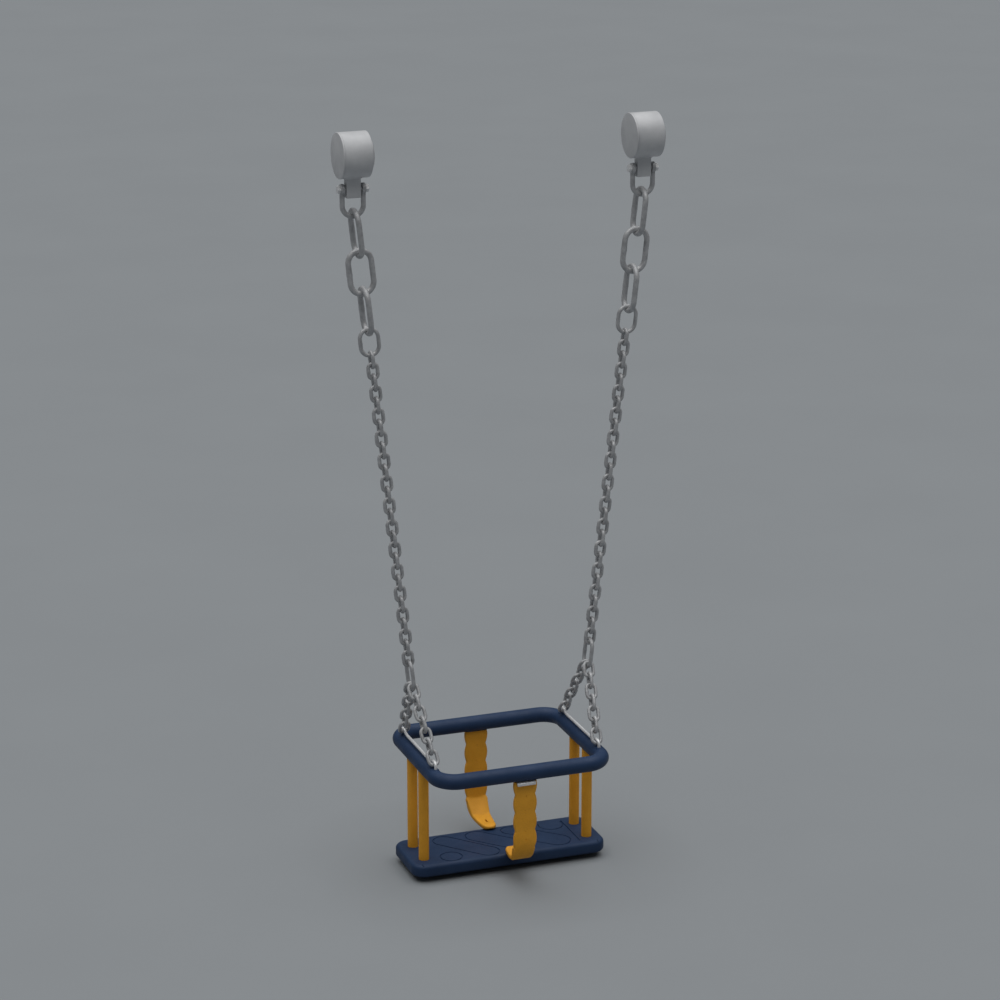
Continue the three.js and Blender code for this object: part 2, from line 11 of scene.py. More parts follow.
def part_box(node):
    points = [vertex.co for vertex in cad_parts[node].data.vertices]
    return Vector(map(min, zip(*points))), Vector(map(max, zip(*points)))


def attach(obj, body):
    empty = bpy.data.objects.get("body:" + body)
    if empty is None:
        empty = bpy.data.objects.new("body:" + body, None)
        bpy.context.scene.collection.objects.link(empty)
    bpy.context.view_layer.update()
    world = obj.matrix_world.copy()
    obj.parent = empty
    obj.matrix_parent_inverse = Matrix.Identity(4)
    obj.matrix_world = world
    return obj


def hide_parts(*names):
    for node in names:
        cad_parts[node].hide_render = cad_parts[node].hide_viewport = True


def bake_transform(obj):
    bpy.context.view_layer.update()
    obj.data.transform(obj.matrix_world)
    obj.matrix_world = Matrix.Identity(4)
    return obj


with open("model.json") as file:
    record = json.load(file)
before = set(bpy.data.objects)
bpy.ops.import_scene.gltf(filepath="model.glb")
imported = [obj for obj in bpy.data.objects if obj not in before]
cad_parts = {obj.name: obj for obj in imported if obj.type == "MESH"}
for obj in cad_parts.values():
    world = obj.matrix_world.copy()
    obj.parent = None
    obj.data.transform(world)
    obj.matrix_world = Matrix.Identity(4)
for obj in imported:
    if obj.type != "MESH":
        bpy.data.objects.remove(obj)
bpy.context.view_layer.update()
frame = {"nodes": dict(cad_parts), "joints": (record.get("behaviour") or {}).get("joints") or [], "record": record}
scene = bpy.context.scene
joints = {joint["name"]: joint for joint in frame["joints"]}
SIDES = (("left", -1), ("right", 1))
ENDS = (("front", -1), ("rear", 1))
X_AXIS = Vector((1, 0, 0))
Y_AXIS = Vector((0, 1, 0))
Z_AXIS = Vector((0, 0, 1))
CORNERS = [(f"{side}_{end}", sx, sy) for side, sx in SIDES for end, sy in ENDS]

# ---------------------------------------------------------------- driving dimensions
# Links: wire is a radius, width is over all, play is added to a link's inner length.
BIG_WIRE = 0.006
BIG_WIDTH = 0.063
BIG_PLAY = 0.0006
RING_WIRE = 0.00425
RING_WIDTH = 0.049
LONG_WIRE = 0.0043
LONG_WIDTH = 0.045
SINGLE_PLAY = 0.0003
CHAIN_WIRE = 0.004
CHAIN_WIDTH = 0.028
CHAIN_PITCH = 0.02502
CHAIN_COUNT = 28
CORNER_WIRE = 0.00375
CORNER_PLAY = 0.0006
CORNER_START = 0.0005  # how far the corner chains' first links hang below their pitch
CORNER_COUNT = 7
WELD_SWELL = 0.09  # share of the wire's radius
LINK_SETTLE = math.radians(2.5)

# Hangers, axles and shackles
DRUM_EDGE = 0.0011
DRUM_WALL = 0.006
DRUM_BACK = 0.008  # thickness of the wall round the hub
HUB_BORE = 0.0203
HUB_RADIUS = 0.027
HUB_START = -0.020  # along X, from the hinge
LUG_HALF = 0.0155
LUG_DEPTH = 0.0095
LUG_EDGE = 0.0012
LUG_SINK = 0.0025  # how far the lug runs into the drum
BEAD_RADIUS = 0.0016
AXLE_RADIUS = 0.012
AXLE_EDGE = 0.0012
FLANGE_THICK = 0.005
FLANGE_HOLE = 0.0045
FLANGE_CIRCLE = 0.026  # radius on which the three holes lie
TAP_RADIUS = 0.0051
SHACKLE_WIRE = 0.00525
SHACKLE_HALF = 0.0228
EYE_HALF = 0.004
EYE_EDGE = 0.001
PIN_HOLE = 0.0053
BOLT_RADIUS = 0.005
NUT_BORE = 0.0052
HEXAGON = 0.0088  # over the corners, as a radius
THREAD_LENGTH = 0.012
THREAD_RUN = 0.0105  # the part of it that carries rings
THREAD_PITCH = 0.0015
THREAD_DEPTH = 0.0007

# Cradle seat
HOOP_CORNER = 0.045
HOOP_SKIN = 0.00035  # how much thinner than its box the tube is drawn
LEG_HOLE = 0.0039
SOCKET_GAP = 0.0003
HUMP_Y = 0.101  # where a corner chain holds the staple
STAPLE_DIP = 0.0065  # how far the staple's rail lies below its humps
STAPLE_FIT = 0.96
PLANK_CORNER = 0.030
PLANK_ROUND_TOP = 0.009
PLANK_ROUND_LOW = 0.007
GROOVE_HALF = 0.0014
GROOVE_DEPTH = 0.0024
GROOVE_LIFT = 0.0003  # the cutters' middle above the plank's top
RELIEF = (  # ovals on the plank's top: two centres and the radius round them
    ((-0.040, 0.041), (0.036, -0.041), 0.0255),
    ((-0.118, 0.040), (-0.043, -0.046), 0.0240),
    ((0.040, 0.046), (0.056, 0.034), 0.0200),
    ((-0.131, -0.047), (-0.130, -0.047), 0.0235),
    ((0.072, 0.008), (0.122, -0.040), 0.0285),
)
BAY_CENTRE = (0.137, 0.046)
BAY_RADIUS = 0.028
RAIL_X = 0.167
NOTCH_X = 0.2045
NOTCH_HALF = 0.0009
NOTCH = ((-0.068, 0.0), (-0.086, -0.004), (-0.092, -0.012))  # (y, drop) over the front edge
BOLT_RECESS = 0.009
BOLT_HEAD = 0.0053
POST_SEAM = 0.00028
POST_EDGE = 0.0005
POST_STATIONS = (0.0008, 0.0035, 0.006, 0.012, 0.05, 0.1, 0.15, 0.2)
TIE_BORE = 0.0046

# Straps and brackets; depths along a strap are measured down from its CAD top
STRAP_WIDTH = 0.0535
STRAP_THICK = 0.0088
STRAP_INSET = 0.005  # half the CAD strap's thickness
STRAP_RISE = 0.0041  # how far its top runs up in front of the bracket's flange
STRAP_PAD = 0.0008  # extra half thickness at the top and on the tongue
STRAP_CORNER = 0.0034
SCALLOP_PITCH = 0.0418
SCALLOP_START = 0.0145
SCALLOP_DEPTH = 0.0042
TONGUE_START = {"front": 0.1475, "rear": 0.1585}
TONGUE_HALF = 0.0242
TONGUE_TAPER = 0.0097
TIP_LENGTH = 0.014
WEB_RISE = 0.0075
WEB_LENGTH = 0.052
WEB_CREASE = 0.007  # how much higher the crease starts at the strap's edges
# Pits: how far down the strap, how far off its middle, and radius
THROUGH_PITS = ((0.028, 0.002, 0.0012), (0.062, -0.001, 0.0009), (0.070, 0.001, 0.0009))
OUTER_PITS = ((0.112, 0.0, 0.0009), (0.131, 0.001, 0.0013), (0.137, 0.0008, 0.0009))
SLOT_FROM_TIP = 0.031
SLOT_HALF = 0.005
SLOT_RADIUS = 0.0021
BRACKET_REACH = 0.0041  # from the screws to the flange's inner edge
BRACKET_SHEET = 0.0026
BRACKET_LIP = 0.0068
BRACKET_PLATE = 0.0066
BRACKET_BEND = 0.0022
BRACKET_SCREW_X = 0.012
BRACKET_HOLE = 0.0033
SCREW_POCKET = 0.0048
POCKET_DEPTH = 0.0044
FLANGE_SLOT = 0.0214  # half its length

# Studio
FLOOR_GAP = 0.013
FLOOR_REACH = 40.0


# ---------------------------------------------------------------- materials
def shader(name, roughness, metallic=0.0, specular=0.5):
    """A new material with its node tree, shader and object coordinates."""
    material = bpy.data.materials.new(name)
    material.use_nodes = True
    tree = material.node_tree
    principled = tree.nodes["Principled BSDF"]
    principled.inputs["Roughness"].default_value = roughness
    principled.inputs["Metallic"].default_value = metallic
    principled.inputs["Specular IOR Level"].default_value = specular
    coordinates = tree.nodes.new("ShaderNodeTexCoord")
    return material, tree, principled, coordinates.outputs["Object"]


def noise(tree, where, scale, detail=4.0, roughness=0.55, stretch=(1, 1, 1)):
    """Noise from 0 to 1, its size set by scale and its grain drawn out by stretch."""
    mapping = tree.nodes.new("ShaderNodeMapping")
    mapping.inputs["Scale"].default_value = stretch
    tree.links.new(where, mapping.inputs["Vector"])
    node = tree.nodes.new("ShaderNodeTexNoise")
    node.inputs["Scale"].default_value = scale
    node.inputs["Detail"].default_value = detail
    node.inputs["Roughness"].default_value = roughness
    tree.links.new(mapping.outputs["Vector"], node.inputs["Vector"])
    return node.outputs["Fac"]


def ramp(tree, value, stops):
    """Colours between stops of (position, (r, g, b))."""
    node = tree.nodes.new("ShaderNodeValToRGB")
    elements = node.color_ramp.elements
    for i, (position, color) in enumerate(stops):
        element = elements[i] if i < 2 else elements.new(position)
        element.position = position
        element.color = (*color, 1.0)
    tree.links.new(value, node.inputs["Fac"])
    return node.outputs["Color"]


def spread(tree, value, low, high, from_low=0.3, from_high=0.7):
    """The value with the range from_low to from_high stretched to low to high, and clamped."""
    node = tree.nodes.new("ShaderNodeMapRange")
    node.inputs["From Min"].default_value = from_low
    node.inputs["From Max"].default_value = from_high
    node.inputs["To Min"].default_value = low
    node.inputs["To Max"].default_value = high
    tree.links.new(value, node.inputs["Value"])
    return node.outputs["Result"]


def blend_colors(tree, factor, first, second):
    """A mix of two colours; the first or the second is a socket or a fixed colour."""
    node = tree.nodes.new("ShaderNodeMix")
    node.data_type = "RGBA"
    tree.links.new(factor, node.inputs["Factor"])
    for socket, value in ((node.inputs["A"], first), (node.inputs["B"], second)):
        if isinstance(value, tuple):
            socket.default_value = (*value, 1.0)
        else:
            tree.links.new(value, socket)
    return node.outputs["Result"]


def bumps(tree, principled, *layers):
    """Stacked bump layers of (height, depth in metres)."""
    normal = None
    for height, distance in layers:
        node = tree.nodes.new("ShaderNodeBump")
        node.inputs["Distance"].default_value = distance
        tree.links.new(height, node.inputs["Height"])
        if normal is not None:
            tree.links.new(normal, node.inputs["Normal"])
        normal = node.outputs["Normal"]
    tree.links.new(normal, principled.inputs["Normal"])


def attribute(tree, name):
    """A number stored on the mesh's points."""
    node = tree.nodes.new("ShaderNodeAttribute")
    node.attribute_name = name
    return node.outputs["Fac"]


def galvanised_steel():
    """Dull zinc with a faint mottle, rubbed brighter where links bear on each other."""
    material, tree, principled, where = shader("galvanised_steel", 0.5, 0.3)
    mottle = ramp(
        tree,
        noise(tree, where, 90, 5, 0.6),
        [(0.3, (0.34, 0.345, 0.355)), (0.52, (0.44, 0.445, 0.455)), (0.75, (0.54, 0.545, 0.55))],
    )
    grime = spread(tree, noise(tree, where, 32, 3), 0.0, 0.35, 0.52, 0.72)
    dirty = blend_colors(tree, grime, mottle, (0.22, 0.218, 0.214))
    worn = blend_colors(tree, attribute(tree, "wear"), dirty, (0.74, 0.74, 0.73))
    tree.links.new(worn, principled.inputs["Base Color"])
    fine = noise(tree, where, 700, 3)
    tree.links.new(spread(tree, fine, 0.4, 0.6), principled.inputs["Roughness"])
    bumps(tree, principled, (noise(tree, where, 160, 4), 0.0005), (fine, 0.00015))
    return material


def bright_steel():
    """Zinc-plated rod, bolts and plates: paler and smoother, with drawn streaks."""
    material, tree, principled, where = shader("bright_steel", 0.36, 0.25)
    tone = ramp(
        tree,
        noise(tree, where, 60, 4, 0.6),
        [(0.3, (0.64, 0.645, 0.655)), (0.7, (0.78, 0.785, 0.79))],
    )
    tree.links.new(tone, principled.inputs["Base Color"])
    streaks = noise(tree, where, 500, 2, 0.5, (1, 0.06, 1))
    tree.links.new(spread(tree, streaks, 0.3, 0.45), principled.inputs["Roughness"])
    bumps(tree, principled, (streaks, 0.00006))
    return material


def hanger_paint():
    """Light grey satin powder coat with fine orange peel."""
    material, tree, principled, where = shader("hanger_paint", 0.42, 0.0)
    tone = ramp(
        tree,
        noise(tree, where, 26, 4, 0.6),
        [(0.3, (0.49, 0.498, 0.512)), (0.7, (0.585, 0.591, 0.603))],
    )
    specks = spread(tree, noise(tree, where, 900, 2), 0.0, 0.35, 0.62, 0.75)
    dusty = blend_colors(tree, specks, tone, (0.34, 0.34, 0.345))
    tree.links.new(dusty, principled.inputs["Base Color"])
    peel = noise(tree, where, 420, 2)
    tree.links.new(spread(tree, peel, 0.36, 0.5), principled.inputs["Roughness"])
    bumps(tree, principled, (peel, 0.00012))
    return material


def navy_rubber():
    """Moulded navy rubber: satin, slightly chalky in patches, with a fine grain."""
    material, tree, principled, where = shader("navy_rubber", 0.55, 0.0, 0.25)
    tone = ramp(
        tree,
        noise(tree, where, 14, 5, 0.6),
        [(0.3, (0.011, 0.029, 0.075)), (0.7, (0.017, 0.040, 0.097))],
    )
    dust = spread(tree, noise(tree, where, 1100, 2), 0.0, 0.4, 0.6, 0.8)
    dusty = blend_colors(tree, dust, tone, (0.05, 0.08, 0.14))
    tree.links.new(dusty, principled.inputs["Base Color"])
    grain = noise(tree, where, 1500, 2)
    tree.links.new(spread(tree, noise(tree, where, 45, 4), 0.46, 0.64), principled.inputs["Roughness"])
    bumps(tree, principled, (grain, 0.00018), (noise(tree, where, 120, 3), 0.0002))
    return material


def yellow_rubber():
    """Yellow-orange rubber with dark and pale crumbs in it."""
    material, tree, principled, where = shader("yellow_rubber", 0.6, 0.0, 0.35)
    tone = ramp(
        tree,
        noise(tree, where, 22, 5, 0.6),
        [(0.3, (0.74, 0.335, 0.020)), (0.7, (0.86, 0.40, 0.030))],
    )
    dark = spread(tree, noise(tree, where, 850, 2, 0.6), 0.0, 0.75, 0.6, 0.72)
    crumbs = blend_colors(tree, dark, tone, (0.34, 0.125, 0.008))
    pale = spread(tree, noise(tree, where, 620, 2, 0.6, (1, 1, 1.1)), 0.0, 0.5, 0.66, 0.76)
    speckled = blend_colors(tree, pale, crumbs, (0.95, 0.60, 0.14))
    tree.links.new(speckled, principled.inputs["Base Color"])
    grain = noise(tree, where, 1300, 2)
    tree.links.new(spread(tree, grain, 0.52, 0.7), principled.inputs["Roughness"])
    bumps(tree, principled, (grain, 0.0003), (noise(tree, where, 260, 3), 0.0003))
    return material


def bronze():
    """Turned bearing bronze, oily in places."""
    material, tree, principled, where = shader("bronze", 0.4, 0.9)
    tone = ramp(
        tree,
        noise(tree, where, 80, 4),
        [(0.3, (0.30, 0.17, 0.06)), (0.7, (0.46, 0.29, 0.12))],
    )
    tree.links.new(tone, principled.inputs["Base Color"])
    rings = noise(tree, where, 900, 1, 0.5, (1, 0.05, 0.05))
    tree.links.new(spread(tree, rings, 0.28, 0.5), principled.inputs["Roughness"])
    bumps(tree, principled, (rings, 0.00008))
    return material


def floor_paper():
    """Seamless pale grey studio paper."""
    material, tree, principled, where = shader("floor_paper", 0.9, 0.0, 0.1)
    tone = ramp(
        tree,
        noise(tree, where, 2, 3),
        [(0.3, (0.242, 0.2576, 0.2703)), (0.7, (0.249, 0.2652, 0.2779))],
    )
    tree.links.new(tone, principled.inputs["Base Color"])
    return material


FINISHES = {
    "galvanised_steel": galvanised_steel(),
    "bright_steel": bright_steel(),
    "hanger_paint": hanger_paint(),
    "navy_rubber": navy_rubber(),
    "yellow_rubber": yellow_rubber(),
    "bronze": bronze(),
}


# ---------------------------------------------------------------- mesh helpers
def mesh_object(name, vertices, faces, wear=None, sharp_degrees=40):
    """A mesh object with its faces turned out and hard edges kept above the given angle."""
    mesh = bpy.data.meshes.new(name)
    mesh.from_pydata([tuple(v) for v in vertices], [], faces)
    if wear is not None:
        layer = mesh.attributes.new("wear", "FLOAT", "POINT")
        layer.data.foreach_set("value", wear)
    finish_normals(mesh, sharp_degrees)
    piece = bpy.data.objects.new(name, mesh)
    scene.collection.objects.link(piece)
    return piece


def finish_normals(mesh, sharp_degrees):
    """Turns the faces out and shades them smooth, except across hard edges."""
    work = bmesh.new()
    work.from_mesh(mesh)
    bmesh.ops.remove_doubles(work, verts=work.verts, dist=1e-6)
    bmesh.ops.recalc_face_normals(work, faces=work.faces)
    work.to_mesh(mesh)
    work.free()
    mesh.shade_smooth()
    mesh.set_sharp_from_angle(angle=math.radians(sharp_degrees))
    mesh.update()


def loft(rings, closed=False):
    """Vertices and faces through rings of equal length, capped unless they close on themselves."""
    sides = len(rings[0])
    count = len(rings)
    vertices = [point for ring in rings for point in ring]
    faces = []
    for i in range(count if closed else count - 1):
        here = i * sides
        there = ((i + 1) % count) * sides
        for k in range(sides):
            after = (k + 1) % sides
            faces.append((here + k, here + after, there + after, there + k))
    if not closed:
        faces.append(tuple(reversed(range(sides))))
        faces.append(tuple(range((count - 1) * sides, count * sides)))
    return vertices, faces


def sweep(points, radius, across, sides=16, closed=False):
    """Rings of a round rod along points that lie in a plane at right angles to across."""
    radii = radius if isinstance(radius, list) else [radius] * len(points)
    rings = []
    count = len(points)
    for i, point in enumerate(points):
        before = points[i - 1] if closed or i else point
        after = points[(i + 1) % count] if closed or i < count - 1 else point
        up = (after - before).normalized().cross(across)
        ring = []
        for k in range(sides):
            angle = 2 * math.pi * k / sides
            offset = across * math.cos(angle) + up * math.sin(angle)
            ring.append(point + offset * radii[i])
        rings.append(ring)
    return rings


def arc(centre, first, second, start, end, steps):
    """Points centre + first * cos + second * sin from one angle to another, in degrees."""
    points = []
    for i in range(steps + 1):
        angle = math.radians(start + (end - start) * i / steps)
        points.append(centre + first * math.cos(angle) + second * math.sin(angle))
    return points


def turned_x(name, outline, centre, segments=96):
    """A body turned about the X axis through centre, from a closed (x, radius) outline."""
    rings = []
    for i in range(segments):
        angle = 2 * math.pi * i / segments
        across = Vector((0, math.cos(angle), math.sin(angle)))
        rings.append([centre + X_AXIS * x + across * r for x, r in outline])
    return mesh_object(name, *loft(rings, closed=True))


def turned_z(name, outline, centre, segments=48):
    """A body turned about the vertical through centre, from a closed (z, radius) outline."""
    rings = []
    for i in range(segments):
        angle = 2 * math.pi * i / segments
        across = Vector((math.cos(angle), math.sin(angle), 0))
        rings.append([centre + across * r + Z_AXIS * z for z, r in outline])
    return mesh_object(name, *loft(rings, closed=True))


def prism_x(name, outline, x0, x1):
    """A straight bar along X with the given closed (y, z) outline."""
    rings = [[Vector((x, y, z)) for y, z in outline] for x in (x0, x1)]
    return mesh_object(name, *loft(rings))


def rod_between(name, start, end, radius, sides=32):
    """A plain round rod, mostly used as a cutter."""
    axis = (end - start).normalized()
    first = axis.orthogonal().normalized()
    second = axis.cross(first)
    rings = []
    for point in (start, end):
        ring = []
        for k in range(sides):
            angle = 2 * math.pi * k / sides
            ring.append(point + (first * math.cos(angle) + second * math.sin(angle)) * radius)
        rings.append(ring)
    return mesh_object(name, *loft(rings))


def rounded(piece, width, segments=3, angle=35):
    """Rounds the piece's hard edges for good."""
    work = bmesh.new()
    work.from_mesh(piece.data)
    limit = math.radians(angle)
    edges = [e for e in work.edges if len(e.link_faces) == 2 and e.calc_face_angle() > limit]
    bmesh.ops.bevel(
        work,
        geom=edges,
        offset=width,
        segments=segments,
        profile=0.5,
        affect="EDGES",
        clamp_overlap=True,
    )
    work.to_mesh(piece.data)
    work.free()
    finish_normals(piece.data, 40)


def boolean(piece, tools, operation="DIFFERENCE", sharp_degrees=40):
    """Cuts the tools from the piece, or joins them to it, and removes them."""
    for tool in tools:
        modifier = piece.modifiers.new("boolean", "BOOLEAN")
        modifier.operation = operation
        modifier.solver = "EXACT"
        modifier.object = tool
    bpy.context.view_layer.update()
    depsgraph = bpy.context.evaluated_depsgraph_get()
    made = bpy.data.meshes.new_from_object(piece.evaluated_get(depsgraph))
    piece.modifiers.clear()
    piece.data = made
    finish_normals(made, sharp_degrees)
    for tool in tools:
        bpy.data.objects.remove(tool)


def dress(piece, slot, body, *nodes):
    """Gives a piece its material and its body, and hides the CAD nodes that it stands for."""
    piece.data.materials.clear()
    piece.data.materials.append(FINISHES[slot])
    for polygon in piece.data.polygons:
        polygon.material_index = 0
    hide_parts(*nodes)
    if body:
        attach(piece, body)


def middle(node):
    """Centre of a CAD node's box."""
    low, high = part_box(node)
    return (low + high) / 2


# ---------------------------------------------------------------- links
def link_shape(inner, width, wire, sides=14, per_end=12):
    """Vertices, faces and wear of one welded link, its length along Z, opening seen along X."""
    bend = width / 2 - wire
    centre = inner / 2 + wire - bend
    steps = 6
    points = []
    for end in (1, -1):
        start = 0 if end > 0 else 180
        shift = Vector((0, 0, end * centre))
        points += arc(shift, Y_AXIS * bend, Z_AXIS * bend, start, start + 180, per_end)
        for i in range(1, steps):
            points.append(Vector((0, -end * bend, end * centre * (1 - 2 * i / steps))))
    weld_place = Y_AXIS * bend
    radii = []
    for point in points:
        weld = math.exp(-(((point - weld_place).length / (0.55 * wire)) ** 2))
        radii.append(wire * (1 + WELD_SWELL * weld))
    rings = sweep(points, radii, X_AXIS, sides, closed=True)
    wear = []
    for point, ring in zip(points, rings):
        crown = max(0.0, abs(point.z) - centre) / bend
        for vertex in ring:
            inward = -(vertex - point).z * math.copysign(1, point.z) / wire
            wear.append(0.85 * max(0.0, inward) ** 2 * crown**3)
    vertices, faces = loft(rings, closed=True)
    return vertices, faces, wear


def hanging_basis(direction):
    """Rotation that hangs a link's -Z along direction and keeps its X near the world's."""
    z = -direction.normalized()
    x = (X_AXIS - z * X_AXIS.dot(z)).normalized()
    y = z.cross(x)
    return Matrix((x, y, z)).transposed()


def link_run(name, shape, places, direction, first_broad):
    """One object of separate links at places, each turned a quarter against the one before."""
    base = hanging_basis(direction)
    vertices, faces, wear = [], [], []
    for i, place in enumerate(places):
        quarter = math.pi / 2 if first_broad == (i % 2 == 0) else 0.0
        settle = LINK_SETTLE * math.sin(2.4 * i + 0.7)
        turn = base @ Matrix.Rotation(quarter + settle, 3, "Z")
        offset = len(vertices)
        vertices += [place + turn @ v for v in shape[0]]
        faces += [tuple(offset + k for k in face) for face in shape[1]]
        wear += shape[2]
    return mesh_object(name, vertices, faces, wear)


def gathering_point(sx):
    """Where one side's two corner chains meet under the long link."""
    place = joints["seat_pitch"]["pos_m"]
    return Vector((sx * abs(place[0]), 0, place[2]))


def chain_line(side, sx):
    """Everything between the shackle and the corner chains, along one straight line."""
    top = Vector(joints[f"{side}_line_sway"]["pos_m"])
    down = (gathering_point(sx) - top).normalized()

    def on_line(z):
        return top + down * ((z - top.z) / down.z)

    singles = [(f"{side}_big_link_{i}", BIG_WIRE, BIG_WIDTH, i == 2) for i in (1, 2, 3)]
    singles.append((f"{side}_connecting_link", RING_WIRE, RING_WIDTH, True))
    singles.append((f"{side}_long_link", LONG_WIRE, LONG_WIDTH, False))
    for node, wire, width, broad in singles:
        low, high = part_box(node)
        centre = on_line((low.z + high.z) / 2)
        lean = abs(down.x) * (width - 2 * wire) / 2 if broad else 0.0
        outer = ((high.z - low.z) / 2 - wire - lean) / abs(down.z)
        inner = 2 * (outer - wire) + (BIG_PLAY if wire == BIG_WIRE else SINGLE_PLAY)
        shape = link_shape(inner, width, wire, 24, 20)
        piece = link_run(f"{node}_wire", shape, [centre], down, broad)
        body = "drop_link" if node.endswith("long_link") else "line"
        dress(piece, "galvanised_steel", f"{side}_{body}", node)

    middle_point = on_line(middle(f"{side}_main_chain").z)
    places = []
    for i in range(CHAIN_COUNT):
        places.append(middle_point + down * CHAIN_PITCH * (i - (CHAIN_COUNT - 1) / 2))
    shape = link_shape(CHAIN_PITCH, CHAIN_WIDTH, CHAIN_WIRE)
    run = link_run(f"{side}_main_chain_links", shape, places, down, False)
    dress(run, "galvanised_steel", f"{side}_line", f"{side}_main_chain")


def corner_chains(side, sx):
    """Two taut chains from the gathering point to the staple's humps."""
    centre = gathering_point(sx)
    low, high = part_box(f"{side}_staple")
    radius = (high.x - low.x) / 2
    rod = Vector(((low.x + high.x) / 2, 0, high.z - radius))
    shape = link_shape(CHAIN_PITCH + CORNER_PLAY, CHAIN_WIDTH, CORNER_WIRE)
    for end, sy in ENDS:
        direction = (rod + Y_AXIS * sy * HUMP_Y - centre).normalized()
        places = []
        for i in range(CORNER_COUNT):
            places.append(centre + direction * (CHAIN_PITCH * (i + 1) + CORNER_START))
        node = f"{side}_{end}_vee_chain"
        run = link_run(f"{side}_{end}_corner_links", shape, places, direction, True)
        dress(run, "galvanised_steel", "cradle_seat", node)


# ---------------------------------------------------------------- hangers and shackles
def rim(x, radius, towards):
    """Outline points from the round surface over its rounded edge onto the face at x."""
    step = 0.3 * DRUM_EDGE
    return [
        (x - towards * DRUM_EDGE, radius),
        (x - towards * step, radius - step),
        (x, radius - DRUM_EDGE),
    ]


def hanger(side):
    """Drum with its hub and lug, and the plate that closes its end."""
    hinge = Vector(joints[f"{side}_hanger_swing"]["pos_m"])
    drum_low, drum_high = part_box(f"{side}_hanger_housing")
    cover_low, cover_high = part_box(f"{side}_hanger_end_cover")
    radius = (cover_high.z - cover_low.z) / 2
    start = drum_low.x - hinge.x
    end = drum_high.x - hinge.x
    web = end - DRUM_BACK
    outline = [(end, HUB_BORE), (HUB_START, HUB_BORE), (HUB_START, HUB_RADIUS), (web, HUB_RADIUS)]
    outline += [(web, radius - DRUM_WALL), (start, radius - DRUM_WALL), (start, radius)]
    outline += rim(end, radius, 1)
    drum = turned_x(f"{side}_hanger_drum", outline, hinge, 128)
    surface = hinge.z - math.sqrt(radius**2 - LUG_DEPTH**2)
    top = surface + LUG_SINK
    section = [(-LUG_DEPTH, drum_low.z), (LUG_DEPTH, drum_low.z), (LUG_DEPTH, top), (-LUG_DEPTH, top)]
    lug = prism_x("lug", section, hinge.x - LUG_HALF, hinge.x + LUG_HALF)
    rounded(lug, LUG_EDGE)
    boolean(drum, [lug, weld_bead(hinge.x, surface + 0.0002)], "UNION", 32)
    pin = Vector((hinge.x, 0, joints[f"{side}_shackle_swing"]["pos_m"][2]))
    reach = X_AXIS * 0.02
    boolean(drum, [rod_between("pin_hole", pin - reach, pin + reach, PIN_HOLE)], sharp_degrees=32)
    dress(drum, "hanger_paint", f"{side}_hanger", f"{side}_hanger_housing")

    face = cover_low.x - hinge.x
    back = cover_high.x - hinge.x
    plate_outline = [(back, 0.0), (back, radius), *rim(face, radius, -1), (face, 0.0)]
    plate = turned_x(f"{side}_hanger_end_plate", plate_outline, hinge, 128)
    dress(plate, "hanger_paint", f"{side}_hanger", f"{side}_hanger_end_cover")


def weld_bead(x, z):
    """A small bead where the lug meets the drum, round its four sides."""
    rings = []
    for sx, sy in ((1, 1), (-1, 1), (-1, -1), (1, -1)):
        corner = Vector((x + sx * LUG_HALF, sy * LUG_DEPTH, z))
        outward = Vector((sx, sy, 0))
        ring = []
        for k in range(10):
            angle = 2 * math.pi * k / 10
            ring.append(corner + (outward * math.cos(angle) + Z_AXIS * math.sin(angle)) * BEAD_RADIUS)
        rings.append(ring)
    return mesh_object("bead", *loft(rings, closed=True))


def hanger_axle(side):
    """Axle, its mounting flange and the holes in it."""
    hinge = Vector(joints[f"{side}_hanger_swing"]["pos_m"])
    low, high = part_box(f"{side}_hanger_axle")
    inner = low.x - hinge.x
    outer = high.x - hinge.x
    flange = (high.z - low.z) / 2
    back = outer - FLANGE_THICK
    outline = [(inner, 0.0), (inner, AXLE_RADIUS - AXLE_EDGE), (inner + AXLE_EDGE, AXLE_RADIUS)]
    outline += [(back, AXLE_RADIUS), (back, flange - AXLE_EDGE), (back + AXLE_EDGE, flange)]
    outline += [(outer - AXLE_EDGE, flange), (outer, flange - AXLE_EDGE), (outer, 0.0)]
    axle = turned_x(f"{side}_axle_and_flange", outline, hinge, 96)
    face = Vector((hinge.x + outer, 0, hinge.z))
    past = X_AXIS * 0.005
    holes = [rod_between("tap", face - X_AXIS * 0.03, face + past, TAP_RADIUS)]
    for i in range(3):
        angle = math.radians(90 + 120 * i)
        place = face + Vector((0, math.cos(angle), math.sin(angle))) * FLANGE_CIRCLE
        holes.append(rod_between("hole", place - X_AXIS * 0.012, place + past, FLANGE_HOLE))
    boolean(axle, holes)
    dress(axle, "galvanised_steel", "hanger_axles", f"{side}_hanger_axle")


def hexagon_head(name, inner, outer, z):
    """A hexagonal head along X whose outer face is chamfered to a circle."""
    section = []
    for k in range(6):
        angle = math.radians(60 * k)
        section.append((HEXAGON * math.cos(angle), z + HEXAGON * math.sin(angle)))
    body = prism_x(name, section, min(inner, outer), max(inner, outer))
    half = abs(outer - inner) / 2
    flat = HEXAGON * 0.9
    slope = HEXAGON + 0.001
    drop = (slope - flat) * 0.55
    sign = math.copysign(1, outer - inner)
    profile = [(-sign * half * 1.2, 0.0), (-sign * half * 1.2, slope), (sign * (half - drop), slope)]
    profile += [(sign * half, flat), (sign * half, 0.0)]
    cone = turned_x("cone", profile, Vector(((inner + outer) / 2, 0, z)), 48)
    boolean(body, [cone], "INTERSECT", 25)
    return body


